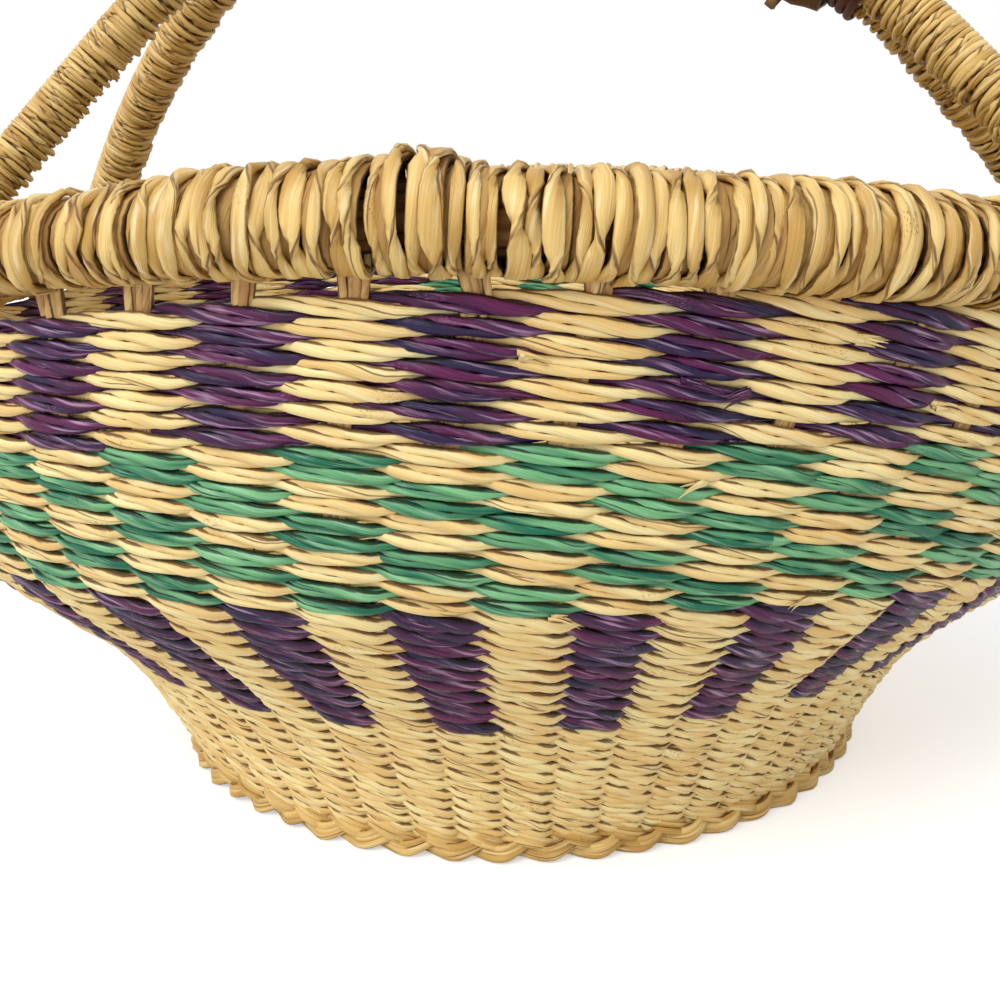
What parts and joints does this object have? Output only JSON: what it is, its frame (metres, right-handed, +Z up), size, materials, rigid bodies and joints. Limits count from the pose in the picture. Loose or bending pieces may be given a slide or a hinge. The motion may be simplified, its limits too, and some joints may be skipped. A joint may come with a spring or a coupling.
{
  "type": "woven straw basket",
  "caption": "Round woven straw market basket with a flared wall, a saddle-shaped bound rim, a braided foot and a two-hoop handle with a leather grip.",
  "frame": {"origin": "centre of the foot ring, on the surface that the basket stands on", "axes": "+Z up, X along the handle from foot to foot, -Y the front"},
  "size_m": [0.4264, 0.4264, 0.3038],
  "materials": {
    "straw_natural": "dry twisted elephant-grass straw, low sheen",
    "straw_binding": "flat split straw strips, low sheen along the strip",
    "straw_purple": "dyed twisted straw, low sheen",
    "straw_green": "dyed twisted straw, low sheen",
    "leather": "vegetable-tanned leather, satin",
    "thong": "thin raw thong, matt"
  },
  "bodies": {
    "root": {"foot_braid": "straw_binding", "base_disc": "straw_natural", "wall_natural": "straw_natural", "wall_lower_purple": "straw_purple", "wall_green": "straw_green", "wall_upper_purple": "straw_purple", "stakes_and_rim_core": "straw_natural", "rim_binding": "straw_binding", "handle_core_front": "straw_natural", "handle_winding_front": "straw_binding", "foot_lashing_front_left": "straw_natural", "foot_lashing_front_right": "straw_natural", "handle_core_rear": "straw_natural", "handle_winding_rear": "straw_binding", "foot_lashing_rear_left": "straw_natural", "foot_lashing_rear_right": "straw_natural", "grip_leather": "leather", "grip_tie_left": "thong", "grip_tie_right": "thong", "grip_end_binding_left": "leather", "grip_end_binding_right": "leather"}
  },
  "joints": []
}
